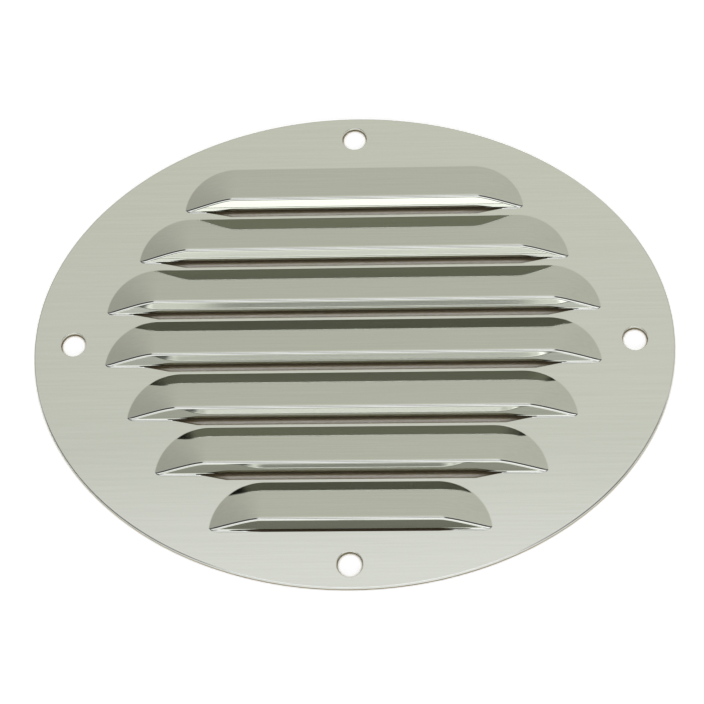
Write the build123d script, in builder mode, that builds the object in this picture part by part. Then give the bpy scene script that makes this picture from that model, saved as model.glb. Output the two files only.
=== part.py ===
"""Oval louvre vent, pressed from one piece of polished stainless sheet.

The plate lies on its back: the back face is the plane z = 0, +Z comes out of the front, +X runs along the
long axis of the oval and +Y to its top. Each louvre is a long hood whose mouth faces the bottom, -Y.
"""

import os
from math import cos, radians, sin, sqrt, tan

from build123d import *

# Sheet
PLATE_WIDTH = 127.0
PLATE_HEIGHT = 101.6
SHEET = 0.9
EDGE_BREAK = 0.25

# Screw holes, one at each end of both axes
HOLE_DIAMETER = 5.0
SIDE_HOLE_INSET = 7.8
END_HOLE_INSET = 4.8

# Louvre field, with one row for each louvre from the top: the rim from the hood's tip to the edge
# of the plate, and how far the mouth stops short of the tip
FIELD_MARGIN = 11.65
STRIP = 1.7
LOUVRES = (
    (17.2, 3.5),
    (16.0, 3.5),
    (13.6, 4.5),
    (14.1, 7.0),
    (16.1, 8.0),
    (15.2, 8.0),
    (13.4, 4.0),
)

# Hood section: a long slope, a rounded crest and a steep lip
HOOD_SLOPE = 22.5
LIP_SLOPE = 74.0
CREST_ROUND = 0.55
BEND_FRONT = 0.5
CORNER_OVERRUN = 0.75

# Mouth, lanced under the lip: the strip below a hood is drawn back further than the plain rim
# below the last one
MOUTH_LIFT = 0.4
STRIP_DRAW = 1.2
RIM_DRAW = 0.35
MOUTH_TAPER = 6.0

# How far the hood forms run on below the sheet, so that their fillets run out clear of it
RUN_OUT = 2.0
TIP_OVERRUN = 1.5

ROWS = len(LOUVRES)
FIELD_HEIGHT = PLATE_HEIGHT - 2 * FIELD_MARGIN
HOOD_DEPTH = (FIELD_HEIGHT - (ROWS - 1) * STRIP) / ROWS
PITCH = HOOD_DEPTH + STRIP
GRADE = tan(radians(HOOD_SLOPE))
LIP_SIN = sin(radians(LIP_SLOPE))
LIP_COS = cos(radians(LIP_SLOPE))

# The back of the sheet is the front moved in by the thickness, which shifts each bend a little
FOOT_SHIFT = SHEET * tan(radians(HOOD_SLOPE / 2))
LIP_SHIFT = SHEET * (1 - LIP_COS) / LIP_SIN


def half_chord(y):
    """Half the width of the oval at height y."""
    return PLATE_WIDTH / 2 * sqrt(1 - (2 * y / PLATE_HEIGHT) ** 2)


def ridge(half_length, radius, floor, lip_line):
    """One sharp hood form with cone ends about points on y = 0.

    Its lip rises from lip_line at z = floor. It runs on below the floor by RUN_OUT and past the tips
    by TIP_OVERRUN.
    """
    reach = radius + RUN_OUT / GRADE
    apex = reach * GRADE
    base = floor - RUN_OUT
    straight = half_length - radius
    with BuildPart() as form:
        with BuildSketch(Plane.YZ.offset(-straight)) as section:
            with BuildLine():
                Polyline((0, base), (reach, base), (0, base + apex), close=True)
            make_face()
        extrude(amount=2 * straight)
        for side in (-1, 1):
            turn = Axis((side * straight, 0, 0), (0, 0, 1))
            with BuildSketch(Plane.YZ.offset(side * straight)):
                add(section.sketch_local)
            revolve(axis=turn, revolution_arc=-side * 90)
        lip = Plane((0, lip_line, floor), x_dir=(1, 0, 0), z_dir=(0, LIP_SIN, -LIP_COS))
        split(bisect_by=lip, keep=Keep.TOP)
        Box(2 * (half_length + TIP_OVERRUN), 2 * reach, 4 * apex, mode=Mode.INTERSECT)
    return form.part


def outer_hood(half_length):
    """The outside of a hood: the ridge with its crest rounded down to the tips, cut at the front face."""
    with BuildPart() as form:
        add(ridge(half_length, corner, SHEET, CORNER_OVERRUN))
        crest_line = edges().filter_by(Axis.X).sort_by(Axis.Z)[-1]
        crest_ends = edges().filter_by(GeomType.HYPERBOLA).sort_by(Axis.Z)[-2:]
        fillet([crest_line, *crest_ends], CREST_ROUND)
        split(bisect_by=Plane.XY.offset(SHEET), keep=Keep.TOP)
    return form.part


def inner_hood(half_length):
    """The inside of a hood: the ridge moved in by the thickness, cut off at the back face."""
    with BuildPart() as form:
        add(ridge(half_length - FOOT_SHIFT, corner - FOOT_SHIFT, 0, CORNER_OVERRUN + LIP_SHIFT))
        split(bisect_by=Plane.XY, keep=Keep.TOP)
    return form.part


lip_lines = [PLATE_HEIGHT / 2 - FIELD_MARGIN - HOOD_DEPTH - row * PITCH for row in range(ROWS)]
half_lengths = [half_chord(y) - rim for y, (rim, inset) in zip(lip_lines, LOUVRES)]
mouth_ends = [half - inset for half, (rim, inset) in zip(half_lengths, LOUVRES)]
draws = [STRIP_DRAW] * (ROWS - 1) + [RIM_DRAW]
corner = HOOD_DEPTH + CORNER_OVERRUN

# Front of the sheet: the oval blank with its edge broken and every hood raised on it, bent in at its foot
with BuildPart() as front_form:
    with BuildSketch():
        Ellipse(PLATE_WIDTH / 2, PLATE_HEIGHT / 2)
    extrude(amount=SHEET - EDGE_BREAK)
    with BuildSketch(Plane.XY.offset(SHEET - EDGE_BREAK)):
        Ellipse(PLATE_WIDTH / 2, PLATE_HEIGHT / 2)
    with BuildSketch(Plane.XY.offset(SHEET)):
        Ellipse(PLATE_WIDTH / 2 - EDGE_BREAK, PLATE_HEIGHT / 2 - EDGE_BREAK)
    loft(ruled=True)
    for y, half in zip(lip_lines, half_lengths):
        with Locations((0, y - CORNER_OVERRUN)):
            add(outer_hood(half))
    hood_feet = edges().filter_by_position(Axis.Z, SHEET, SHEET).sort_by(SortBy.LENGTH)[:-1]
    fillet(hood_feet, BEND_FRONT)

# Back of the sheet: the same hoods moved in by the thickness, on a slab below the back face
with BuildPart() as back_form:
    with BuildSketch():
        Ellipse(PLATE_WIDTH / 2, PLATE_HEIGHT / 2)
    extrude(amount=-SHEET)
    for y, half in zip(lip_lines, half_lengths):
        with Locations((0, y - CORNER_OVERRUN)):
            add(inner_hood(half))
    hood_ends = edges().filter_by_position(Axis.Z, 0, 0).filter_by(GeomType.CIRCLE)
    fillet(hood_ends, BEND_FRONT + SHEET)

# The finished plate: hollow hoods, lanced mouths and screw holes
with BuildPart() as vent_plate:
    add(front_form.part)
    add(back_form.part, mode=Mode.SUBTRACT)
    for y, end, draw in zip(lip_lines, mouth_ends, draws):
        shoulder = end - MOUTH_TAPER
        with BuildSketch(Plane.XY.offset(-SHEET)):
            with BuildLine():
                Polyline((-end, y), (-shoulder, y - draw), (shoulder, y - draw), (end, y), close=True)
            make_face()
        extrude(amount=2 * SHEET + MOUTH_LIFT, mode=Mode.SUBTRACT)
        with BuildSketch(Plane.XZ.offset(-y)):
            with BuildLine():
                Polyline(
                    (-end, -SHEET),
                    (-end, SHEET),
                    (-shoulder, SHEET + MOUTH_LIFT),
                    (shoulder, SHEET + MOUTH_LIFT),
                    (end, SHEET),
                    (end, -SHEET),
                    close=True,
                )
            make_face()
        extrude(amount=-2 * SHEET, mode=Mode.SUBTRACT)
    side_x = PLATE_WIDTH / 2 - SIDE_HOLE_INSET
    end_y = PLATE_HEIGHT / 2 - END_HOLE_INSET
    with Locations((side_x, 0, SHEET), (-side_x, 0, SHEET), (0, end_y, SHEET), (0, -end_y, SHEET)):
        Hole(HOLE_DIAMETER / 2, depth=SHEET)

vent_plate.part.label = "vent_plate"
os.makedirs("parts", exist_ok=True)
export_step(vent_plate.part, "parts/vent_plate.step")
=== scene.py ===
"""Oval louvre vent of polished stainless sheet, lying face up on a white studio table."""
from math import cos, pi, radians, sin, tan

import bmesh
import bpy
import numpy as np
from mathutils.geometry import delaunay_2d_cdt
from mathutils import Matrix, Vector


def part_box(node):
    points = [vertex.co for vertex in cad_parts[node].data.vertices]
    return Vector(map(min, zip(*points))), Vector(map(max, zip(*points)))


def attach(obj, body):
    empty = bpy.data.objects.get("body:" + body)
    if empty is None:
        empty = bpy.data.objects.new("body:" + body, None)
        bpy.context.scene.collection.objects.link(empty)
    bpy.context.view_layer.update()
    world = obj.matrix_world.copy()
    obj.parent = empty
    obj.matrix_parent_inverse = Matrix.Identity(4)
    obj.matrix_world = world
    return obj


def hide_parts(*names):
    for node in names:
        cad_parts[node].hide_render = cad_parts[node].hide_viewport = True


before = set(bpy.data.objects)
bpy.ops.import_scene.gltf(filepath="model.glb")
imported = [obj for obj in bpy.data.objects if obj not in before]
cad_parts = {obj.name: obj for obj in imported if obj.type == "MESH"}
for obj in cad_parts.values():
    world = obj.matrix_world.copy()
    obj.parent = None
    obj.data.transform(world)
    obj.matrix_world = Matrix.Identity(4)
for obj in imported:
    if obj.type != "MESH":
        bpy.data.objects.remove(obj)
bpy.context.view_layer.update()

# Vent plate
# One oval of stainless sheet with seven hoods pressed out of it, each lanced open under its lip.
# Four plain holes in the rim take the screws that hold it to a wall.
MM = 0.001
plate_low, plate_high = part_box("vent_plate")
HALF_WIDTH = (plate_high.x - plate_low.x) / 2
HALF_HEIGHT = 50.8 * MM
SHEET = 0.9 * MM
EDGE_ROUND = 0.25 * MM

# Screw holes, one at each end of both axes
HOLE_RADIUS = 2.5 * MM
HOLE_ROUND = 0.1 * MM
SIDE_HOLE_INSET = 7.8 * MM
END_HOLE_INSET = 4.8 * MM

# Louvre field, with one value for each louvre from the top: the rim beyond the hood's tip, and how far
# the mouth stops short of the tip
FIELD_MARGIN = 11.65 * MM
STRIP = 1.7 * MM
TIP_RIMS = np.array([17.2, 16.0, 13.6, 14.1, 16.1, 15.2, 13.4]) * MM
MOUTH_INSETS = np.array([3.5, 3.5, 4.5, 7.0, 8.0, 8.0, 4.0]) * MM

# Hood section: a long roof, a rounded crest and a steep lip, with the mouth lanced under it
HOOD_SLOPE = radians(22.5)
LIP_SLOPE = radians(74)
CREST_OUTSIDE = 0.55 * MM
CREST_INSIDE = 0.06 * MM
BEND_FRONT = 0.5 * MM
AXIS_DROP = 0.75 * MM
MOUTH_LIFT = 0.4 * MM
STRIP_DRAW = 1.2 * MM
RIM_DRAW = 0.35 * MM
MOUTH_TAPER = 6.0 * MM

# Mesh: rows and columns, the level band round each form, and how near to a bend the rows of a slope go
RIM_COLUMNS = 360
HOLE_COLUMNS = 56
END_COLUMNS = 44
MIDDLE_COLUMNS = 9
ROUND_ROWS = 5
BEND_ROWS = 7
ROOF_ROWS = 5
CREST_ROWS = 11
LIP_ROWS = 4
STRIP_ROWS = 5
TURN_STEPS = 2000
FLAT_BAND = 0.06 * MM
ROOF_GUARD = 0.01
LIP_GUARD = 0.03
WELD = 0.0002 * MM
CREASE = radians(35)
LEVEL_NORMAL = 0.99999
TINY = 1e-6

ROWS = len(TIP_RIMS)
HOOD_DEPTH = (2 * (HALF_HEIGHT - FIELD_MARGIN) - (ROWS - 1) * STRIP) / ROWS
LIP_LINES = HALF_HEIGHT - FIELD_MARGIN - HOOD_DEPTH - np.arange(ROWS) * (HOOD_DEPTH + STRIP)
HOOD_HALVES = HALF_WIDTH * np.sqrt(1 - (LIP_LINES / HALF_HEIGHT) ** 2) - TIP_RIMS
FOOT_SHIFT = SHEET * tan(HOOD_SLOPE / 2)
LIP_SHIFT = SHEET * tan(LIP_SLOPE / 2)
UP = np.array([0.0, 0.0, 1.0])
FORWARD = np.array([0.0, -1.0, 0.0])


def leaning(direction, tilt):
    """Unit vectors tilted from straight up towards a level direction: up cos(tilt) + direction sin(tilt)."""
    return UP * np.cos(tilt)[:, None] + direction * np.sin(tilt)[:, None]


def hood(half, foot_radius, lip_line, crest, bend, mouth_end, draw, lift):
    """One side of a hood, in rows from the top of the plate over the crest to the strip below the mouth.

    The roof is a plane with cone ends, and a ball of the crest's radius rolls along it and the lip plane.
    At turn t about a cone's axis its centre is at reach / (cos t + tan(roof) / tan(lip)) from that axis.
    Balls of the bend's radius, resting on the flat, round off the foot of the roof and of the lip. Where the
    hood is too low for them to reach roof or lip they touch the crest, at acos((bend - z) / (bend + crest)).
    Returns the points by row and column, the row of the lip's lower edge, and which columns are open.
    """
    grade = tan(HOOD_SLOPE)
    slope_ratio = grade / tan(LIP_SLOPE)
    straight = half - foot_radius
    reach = foot_radius * slope_ratio - crest / cos(HOOD_SLOPE) / tan(LIP_SLOPE) + crest / sin(LIP_SLOPE)
    reach = reach + AXIS_DROP + lip_line
    landing = bend * tan(HOOD_SLOPE / 2)
    last_reach = foot_radius + landing - (crest / cos(HOOD_SLOPE) - crest) / grade
    fine = np.linspace(0, np.arccos(reach / last_reach - slope_ratio), TURN_STEPS)
    travel = foot_radius * fine + reach * np.sin(fine) / (np.cos(fine) + slope_ratio)
    end = np.interp(np.linspace(0, travel[-1], END_COLUMNS), travel, fine)
    corners = np.array([-mouth_end, MOUTH_TAPER - mouth_end, mouth_end - MOUTH_TAPER, mouth_end])
    middle = np.linspace(-straight, straight, MIDDLE_COLUMNS)
    middle = np.union1d(middle, np.clip(corners, -straight, straight))[1:-1]
    turn = np.concatenate([-end[::-1], 0 * middle, end])
    axis = np.concatenate([0 * end - straight, middle, 0 * end + straight])

    away = reach / (np.cos(turn) + slope_ratio)
    out = np.stack([np.sin(turn), np.cos(turn), 0 * turn], 1)
    top = (foot_radius - away) * grade - crest / cos(HOOD_SLOPE) + crest
    past = np.clip(top / grade + landing, 0, bend * sin(HOOD_SLOPE))
    top = np.where(top / grade < landing * cos(HOOD_SLOPE), bend - np.sqrt(bend**2 - past**2), top)
    centre = np.stack([axis + away * out[:, 0], away * out[:, 1] - AXIS_DROP, top - crest], 1)
    tilt = np.arccos(np.clip((bend - centre[:, 2]) / (bend + crest), -1, 1))
    roof_tilt = np.minimum(tilt, HOOD_SLOPE)
    lip_tilt = np.minimum(tilt, LIP_SLOPE)

    def slope(direction, angle):
        """The top and foot of a straight slope below the crest, and the centre of the ball at its foot."""
        normal = leaning(direction, angle)
        high = centre + crest * normal
        fall = (high[:, 2] - bend * (1 - np.cos(angle))) / np.maximum(np.sin(angle), TINY)
        low = high + fall[:, None] * leaning(direction, angle + pi / 2)
        return normal, high, low, low + bend * normal

    roof_normal, roof_top, roof_foot, roof_ball = slope(out, roof_tilt)
    lip_normal, lip_top, lip_foot, lip_ball = slope(FORWARD, lip_tilt)
    opening = np.clip((mouth_end - np.abs(centre[:, 0])) / MOUTH_TAPER, 0, 1)
    lift_y = np.sqrt(bend**2 - (bend - lift) ** 2) - bend * tan(LIP_SLOPE / 2) + lip_line
    edge_y = np.clip(opening * lift_y, lip_ball[:, 1], lip_foot[:, 1])
    edge_tilt = np.arcsin(np.clip((edge_y - lip_ball[:, 1]) / bend, 0, 1))
    strip_y = edge_y - opening * (draw + lift_y)
    flat_y = np.minimum(lip_ball[:, 1], strip_y)
    angle = np.arccos(np.clip((roof_normal * lip_normal).sum(1), -1, 1))[:, None]

    rows = [roof_ball - bend * UP + FLAT_BAND * out * (roof_tilt / HOOD_SLOPE)[:, None]]
    rows += [roof_ball - bend * leaning(out, q * roof_tilt) for q in np.linspace(0, 1, BEND_ROWS)]
    roof_shares = np.linspace(ROOF_GUARD, 1 - ROOF_GUARD, ROOF_ROWS)
    rows += [roof_foot + q * (roof_top - roof_foot) for q in roof_shares]
    for q in np.linspace(0, 1, CREST_ROWS):
        from_roof = np.sinc((1 - q) * angle / pi) * (1 - q) * roof_normal
        from_lip = np.sinc(q * angle / pi) * q * lip_normal
        rows.append(centre + crest * (from_roof + from_lip) / np.sinc(angle / pi))
    lip_shares = np.linspace(LIP_GUARD, 1 - LIP_GUARD, LIP_ROWS)
    rows += [lip_top + q * (lip_foot - lip_top) for q in lip_shares]
    rows += [
        lip_ball - bend * leaning(FORWARD, lip_tilt + q * (edge_tilt - lip_tilt))
        for q in np.linspace(0, 1, BEND_ROWS)
    ]
    lip_edge = len(rows) - 1
    for q in np.linspace(0, 1, STRIP_ROWS):
        y = strip_y + q * (flat_y - strip_y)
        rise = bend - np.sqrt(bend**2 - np.clip(y - lip_ball[:, 1], 0, bend) ** 2)
        rows.append(np.stack([centre[:, 0], y, rise], 1))
    rows.append(np.stack([centre[:, 0], flat_y - FLAT_BAND * lip_tilt / LIP_SLOPE, 0 * flat_y], 1))
    return np.stack(rows), lip_edge, opening > 0


def collar(loop, normal, round_off):
    """A wall from front to back round a closed loop, with both its edges rounded off.

    At turn q of a rounded edge the wall is moved in along the normal by r (1 - sin q), at r (1 - cos q)
    below the front or above the back.
    """
    quarter = np.linspace(0, pi / 2, ROUND_ROWS)
    inset = round_off * (1 - np.sin(quarter))
    depth = round_off * (1 - np.cos(quarter))
    flat = round_off + FLAT_BAND
    inset = np.concatenate([[flat], inset, inset[::-1], [flat]])
    height = np.concatenate([[0], -depth, depth[::-1] - SHEET, [-SHEET]])
    points = loop[None] - inset[:, None, None] * normal[None]
    level = np.broadcast_to(height[:, None, None], points.shape[:2] + (1,))
    return np.concatenate([points, level], 2)


points = []
faces = []


def add_points(rows, level):
    """Adds a block of points, raised to its level, and returns their numbers in rows."""
    first = sum(len(block) for block in points)
    points.append(rows.reshape(-1, 3) + level * UP)
    return first + np.arange(rows.shape[0] * rows.shape[1]).reshape(rows.shape[:2])


def weave(ids):
    """Quads between neighbouring rows and columns of point numbers."""
    return np.stack([ids[:-1, :-1], ids[:-1, 1:], ids[1:, 1:], ids[1:, :-1]], -1).reshape(-1, 4)


def close_ring(rows):
    """Repeats the first column after the last."""
    return np.concatenate([rows, rows[:, :1]], 1)


around = np.linspace(0, 2 * pi, RIM_COLUMNS, endpoint=False)
oval = np.stack([HALF_WIDTH * np.cos(around), HALF_HEIGHT * np.sin(around)], 1)
oval_normal = np.stack([HALF_HEIGHT * np.cos(around), HALF_WIDTH * np.sin(around)], 1)
oval_normal /= np.linalg.norm(oval_normal, axis=1)[:, None]
rim = collar(oval, oval_normal, EDGE_ROUND)
faces += weave(add_points(close_ring(rim), SHEET)).tolist()

around = np.linspace(0, 2 * pi, HOLE_COLUMNS, endpoint=False)
circle = np.stack([np.cos(around), np.sin(around)], 1)
side_x = HALF_WIDTH - SIDE_HOLE_INSET
end_y = HALF_HEIGHT - END_HOLE_INSET
hole_loops = []
for spot in ((side_x, 0), (-side_x, 0), (0, end_y), (0, -end_y)):
    wall = collar(np.array(spot) + HOLE_RADIUS * circle, -circle, HOLE_ROUND)
    faces += weave(add_points(close_ring(wall), SHEET)).tolist()
    hole_loops.append(wall[0, :, :2])

hood_loops = {SHEET: [], 0: []}
corner = HOOD_DEPTH + AXIS_DROP
draws = [STRIP_DRAW] * (ROWS - 1) + [RIM_DRAW]
for y, half, inset, draw in zip(LIP_LINES, HOOD_HALVES, MOUTH_INSETS, draws):
    front, edge, open_front = hood(
        half, corner, 0, CREST_OUTSIDE, BEND_FRONT, half - inset, draw, MOUTH_LIFT
    )
    back, edge, open_back = hood(
        half - FOOT_SHIFT,
        corner - FOOT_SHIFT,
        LIP_SHIFT,
        CREST_INSIDE,
        BEND_FRONT + SHEET,
        half - inset,
        draw,
        MOUTH_LIFT + SHEET,
    )
    ids = {}
    for level, skin in ((SHEET, front), (0, back)):
        skin += (0, y, 0)
        ids[level] = add_points(skin, level)
        faces += weave(ids[level][: edge + 1]).tolist() + weave(ids[level][edge + 1 :]).tolist()
        hood_loops[level].append(np.concatenate([skin[-1, :-1, :2], skin[0, :0:-1, :2]]))
    gaping = open_front | open_back
    gaping = gaping[1:] | gaping[:-1]
    for row in (edge, edge + 1):
        faces += weave(np.stack([ids[SHEET][row], ids[0][row]]))[gaping].tolist()

# The flat of the sheet fills in between the rim, the hoods and the holes, on its front and its back
for level, loops in hood_loops.items():
    outlines = [rim[0, :, :2], *loops, *hole_loops]
    ends = np.cumsum([len(loop) for loop in outlines])
    numbered = [list(range(end - len(loop), end)) for end, loop in zip(ends, outlines)]
    flat = delaunay_2d_cdt((np.concatenate(outlines) / MM).tolist(), [], numbered, 1, TINY)
    spots = np.array(flat[0]) * MM
    ids = add_points(np.pad(spots, ((0, 0), (0, 1)))[None], level)[0]
    between = [list(owners) == [0] for owners in flat[5]]
    faces += ids[np.array(flat[2])[between]].tolist()

vent_mesh = bpy.data.meshes.new("vent_sheet")
vent_mesh.from_pydata(np.concatenate(points).tolist(), [], faces)
welded = bmesh.new()
welded.from_mesh(vent_mesh)
bmesh.ops.remove_doubles(welded, verts=welded.verts, dist=WELD)
bmesh.ops.recalc_face_normals(welded, faces=welded.faces)
welded.to_mesh(vent_mesh)
welded.free()
vent_mesh.shade_smooth()
vent_mesh.set_sharp_from_angle(angle=CREASE)

# Only faces that lean are shaded smooth, so that the flat of the sheet mirrors as a flat
normals = np.empty(3 * len(vent_mesh.polygons))
vent_mesh.polygons.foreach_get("normal", normals)
vent_mesh.polygons.foreach_set("use_smooth", np.abs(normals[2::3]) < LEVEL_NORMAL)
vent = bpy.data.objects.new("vent_sheet", vent_mesh)
bpy.context.scene.collection.objects.link(vent)
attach(vent, "root")
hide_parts("vent_plate")


class Shade:
    """A node socket in a tree, whose arithmetic adds Math nodes."""

    def __init__(self, tree, socket=None):
        self.tree = tree
        self.socket = socket

    def node(self, kind, sockets=(), output=0, stops=(), **settings):
        """Adds a node and sets its ramp's stops and its settings, then its sockets, to values or links."""
        made = self.tree.nodes.new(kind)
        for count, (position, colour) in enumerate(stops):
            if count > 1:
                made.color_ramp.elements.new(position)
            made.color_ramp.elements[count].position = position
            made.color_ramp.elements[count].color = colour
        for name, value in settings.items():
            setattr(made, name, value)
        for name, value in dict(sockets).items():
            if isinstance(value, Shade):
                self.tree.links.new(value.socket, made.inputs[name])
            else:
                made.inputs[name].default_value = value
        return Shade(self.tree, made.outputs[output]) if made.outputs else made

    def math(self, operation, first, second=0.0, third=0.0):
        """Adds a Math node on values or links."""
        return self.node("ShaderNodeMath", {0: first, 1: second, 2: third}, operation=operation)

    def __add__(self, other):
        return self.math("ADD", self, other)

    def __sub__(self, other):
        return self.math("SUBTRACT", self, other)

    def __rsub__(self, other):
        return self.math("SUBTRACT", other, self)

    def __mul__(self, other):
        return self.math("MULTIPLY", self, other)

    __radd__ = __add__
    __rmul__ = __mul__


# The finish of the sheet: cold rolled, buffed bright, with a faint rolling grain left along the long axis
STEEL = (0.665, 0.68, 0.61, 1)
STEEL_DARK = (0.60, 0.615, 0.545, 1)
GRAIN_SCALE = (60, 2600, 2600)
GRAIN_DETAIL = 3.0
BUFFED = 0.045
GRAIN_ROUGHNESS = 0.03
steel = bpy.data.materials.new("polished_stainless")
steel.use_nodes = True
steel.node_tree.nodes.clear()
tree = Shade(steel.node_tree)
place = tree.node("ShaderNodeTexCoord", output="Object")
grain_place = tree.node("ShaderNodeMapping", {"Vector": place, "Scale": GRAIN_SCALE})
grain = tree.node("ShaderNodeTexNoise", {"Vector": grain_place, "Scale": 1.0, "Detail": GRAIN_DETAIL}, "Fac")
colour = tree.node("ShaderNodeMix", {"Factor": grain, "A": STEEL_DARK, "B": STEEL}, 2, data_type="RGBA")
steel_shader = tree.node(
    "ShaderNodeBsdfPrincipled",
    {"Base Color": colour, "Metallic": 1.0, "Roughness": BUFFED + GRAIN_ROUGHNESS * grain},
)
tree.node("ShaderNodeOutputMaterial", {"Surface": steel_shader})
vent_mesh.materials.append(steel)

# Floor
# A plain white studio table under the plate. Its colour holds painted shade from an ambient occlusion mask,
# warm and dark where the plate shuts out the light, and its glow, faded by the same mask, makes it white
# round the plate and in the screw holes.
FLOOR_HALF = 3.0
FLOOR_DROP = 0.02 * MM
FLOOR_COLOUR = (0.9, 0.9, 0.9, 1)
FLOOR_GLOW = 0.56
# Painted shade colours of the table: deep where the plate shuts it in, half where it is partly open
DEEP_SHADE = (0.17, 0.135, 0.08, 1)
HALF_SHADE = (0.66, 0.56, 0.34, 1)
FLOOR_STOPS = ((0, DEEP_SHADE), (0.5, HALF_SHADE), (1, FLOOR_COLOUR))
SHADE_REACH = 10 * MM
SHADE_SAMPLES = 16
SHUT_IN = 0.42
OPEN_TO_LIGHT = 0.63
floor_mesh = bpy.data.meshes.new("floor")
corners = np.array([[-1, -1], [1, -1], [1, 1], [-1, 1]]) * FLOOR_HALF
corners = np.pad(corners, ((0, 0), (0, 1)), constant_values=-FLOOR_DROP)
floor_mesh.from_pydata(corners.tolist(), [], [[0, 1, 2, 3]])
floor = bpy.data.objects.new("floor", floor_mesh)
bpy.context.scene.collection.objects.link(floor)
table = bpy.data.materials.new("white_table")
table.use_nodes = True
table.node_tree.nodes.clear()
tree = Shade(table.node_tree)
camera_ray = tree.node("ShaderNodeLightPath", output="Is Camera Ray")
glossy_ray = tree.node("ShaderNodeLightPath", output="Is Glossy Ray")
through_ray = tree.node("ShaderNodeLightPath", output="Is Transmission Ray")
seen = tree.math("MINIMUM", camera_ray + glossy_ray + through_ray, 1.0)
# Painted shade: an ambient occlusion mask darkens and warms the table's colour and dims its glow under the
# plate
painted_shade_openness = tree.node("ShaderNodeAmbientOcclusion", {"Distance": SHADE_REACH}, "AO", samples=SHADE_SAMPLES)
clear = tree.node(
    "ShaderNodeMapRange",
    {"Value": painted_shade_openness, "From Min": SHUT_IN, "From Max": OPEN_TO_LIGHT},
    interpolation_type="SMOOTHSTEP",
)
painted_shade_colour = tree.node("ShaderNodeValToRGB", {"Fac": clear}, stops=FLOOR_STOPS)
lit = tree.node("ShaderNodeBsdfDiffuse", {"Color": painted_shade_colour})
# The glow takes the painted shade's colour and fades with it under the plate
shaded_glow_colour = tree.node("ShaderNodeVectorMath", {0: painted_shade_colour, "Scale": seen * clear * FLOOR_GLOW}, operation="SCALE")
glow = tree.node("ShaderNodeEmission", {"Color": shaded_glow_colour})
table_shader = tree.node("ShaderNodeAddShader", {0: lit, 1: glow})
tree.node("ShaderNodeOutputMaterial", {"Surface": table_shader})
floor_mesh.materials.append(table)

# Studio light
# A soft white room. Each row is a lean from straight up, in degrees towards the top of the plate, with
# the level of the light there and its share of blue. It is dark round the camera, with a bright strip
# above and below it, a small dark panel in the upper strip and a dark flag on each side.
ROOM_LEVELS = (
    (-90, 0.6, 1.0),
    (-60, 2.4, 1.1),
    (-57, 1.0, 1.1),
    (-53.5, 0.8, 1.0),
    (-50.5, 0.25, 0.9),
    (-45, 0.3, 0.85),
    (-40.5, 0.38, 0.85),
    (-39.1, 0.27, 0.85),
    (-37.6, 0.135, 0.85),
    (-36.1, 0.235, 0.85),
    (-34.5, 0.34, 0.85),
    (-32.9, 0.135, 0.85),
    (-27, 0.2, 0.85),
    (-20, 3.0, 1.1),
    (-15.2, 3.0, 1.1),
    (-13.6, 1.15, 1.1),
    (-12.1, 1.65, 1.05),
    (-10.6, 0.8, 1.05),
    (-9.5, 2.1, 1.1),
    (-8.8, 2.1, 1.1),
    (-8.15, 0.38, 1.0),
    (-4, 0.38, 1.0),
    (8, 0.7, 1.0),
    (17.5, 1.08, 1.03),
    (21, 0.87, 0.98),
    (29, 0.83, 0.94),
    (60, 0.7, 0.93),
    (90, 0.62, 0.93),
)
PANEL_LEAN = -12.1
PANEL_DEPTH = 1.5
PANEL_SIDE = -0.0425
PANEL_WIDTH = 0.159
PANEL_SHADE = 0.67
FLAG_SIDE = 0.55
FLAG_SIDE_CORE = 0.18
FLAG_SIDE_EDGE = 0.28
FLAG_AHEAD = -0.18
FLAG_AHEAD_CORE = 0.3
FLAG_AHEAD_EDGE = 0.42
FLAG_SHADE = 0.9
SIDE_RISE = 0.12
SIDE_FALL = 0.5
world = bpy.data.worlds.new("studio")
bpy.context.scene.world = world
world.use_nodes = True
world.node_tree.nodes.clear()
tree = Shade(world.node_tree)
heading = tree.node("ShaderNodeTexCoord", output="Generated")
across = tree.node("ShaderNodeSeparateXYZ", {"Vector": heading}, "X")
ahead = tree.node("ShaderNodeSeparateXYZ", {"Vector": heading}, "Y")
above = tree.node("ShaderNodeSeparateXYZ", {"Vector": heading}, "Z")


def half_turn(lean):
    """A lean in degrees as a share of the half turn from -90 to 90."""
    return lean / 180 + 0.5


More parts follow.
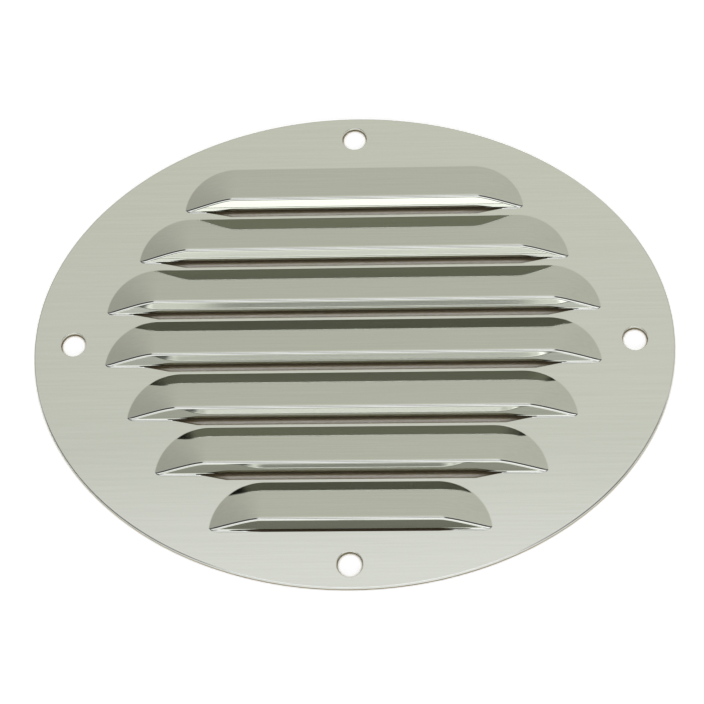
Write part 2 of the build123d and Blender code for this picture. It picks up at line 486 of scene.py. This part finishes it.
lean_back = tree.math("ARCTAN2", ahead, above) * (1 / pi) + 0.5
stops = [(half_turn(lean), (level, level, level * blue, 1)) for lean, level, blue in ROOM_LEVELS]
glare = tree.node("ShaderNodeValToRGB", {"Fac": lean_back}, stops=stops)
panel_lean = tree.math("COMPARE", lean_back, half_turn(PANEL_LEAN), PANEL_DEPTH / 360)
panel_side = tree.math("COMPARE", across, PANEL_SIDE, PANEL_WIDTH / 2)
from_flag_side = tree.math("ABSOLUTE", tree.math("ABSOLUTE", across) - FLAG_SIDE)
flag_side = tree.node(
    "ShaderNodeMapRange",
    {"Value": from_flag_side, "From Min": FLAG_SIDE_EDGE, "From Max": FLAG_SIDE_CORE},
    interpolation_type="SMOOTHSTEP",
)
from_flag_ahead = tree.math("ABSOLUTE", ahead - FLAG_AHEAD)
flag_ahead = tree.node(
    "ShaderNodeMapRange",
    {"Value": from_flag_ahead, "From Min": FLAG_AHEAD_EDGE, "From Max": FLAG_AHEAD_CORE},
    interpolation_type="SMOOTHSTEP",
)
strength = 1 + SIDE_RISE * across - SIDE_FALL * across * across
strength = strength * (1 - PANEL_SHADE * panel_lean * panel_side)
strength = strength * (1 - FLAG_SHADE * flag_side * flag_ahead)
light = tree.node("ShaderNodeVectorMath", {0: glare, "Scale": strength}, operation="SCALE")
room = tree.node("ShaderNodeBackground", {"Color": light})
tree.node("ShaderNodeOutputWorld", {"Surface": room})

# Camera
# It looks down at the front of the plate from beyond its bottom edge, through a long lens.
# Its place and turn were solved from the outline and the screw holes in the photograph.
CAMERA_PLACE = (0.020296, -0.161442, 0.362049)
CAMERA_TURN = (23.7862, 2.958, 0.5961)
CAMERA_LENS = 102.27
CAMERA_SENSOR = 36.0
NEAREST = 0.01
camera_data = bpy.data.cameras.new("camera")
camera_data.sensor_width = CAMERA_SENSOR
camera_data.lens = CAMERA_LENS
camera_data.clip_start = NEAREST
camera = bpy.data.objects.new("camera", camera_data)
bpy.context.scene.collection.objects.link(camera)
camera.location = CAMERA_PLACE
camera.rotation_euler = np.radians(CAMERA_TURN)
bpy.context.scene.camera = camera
bpy.context.scene.view_settings.view_transform = "Standard"
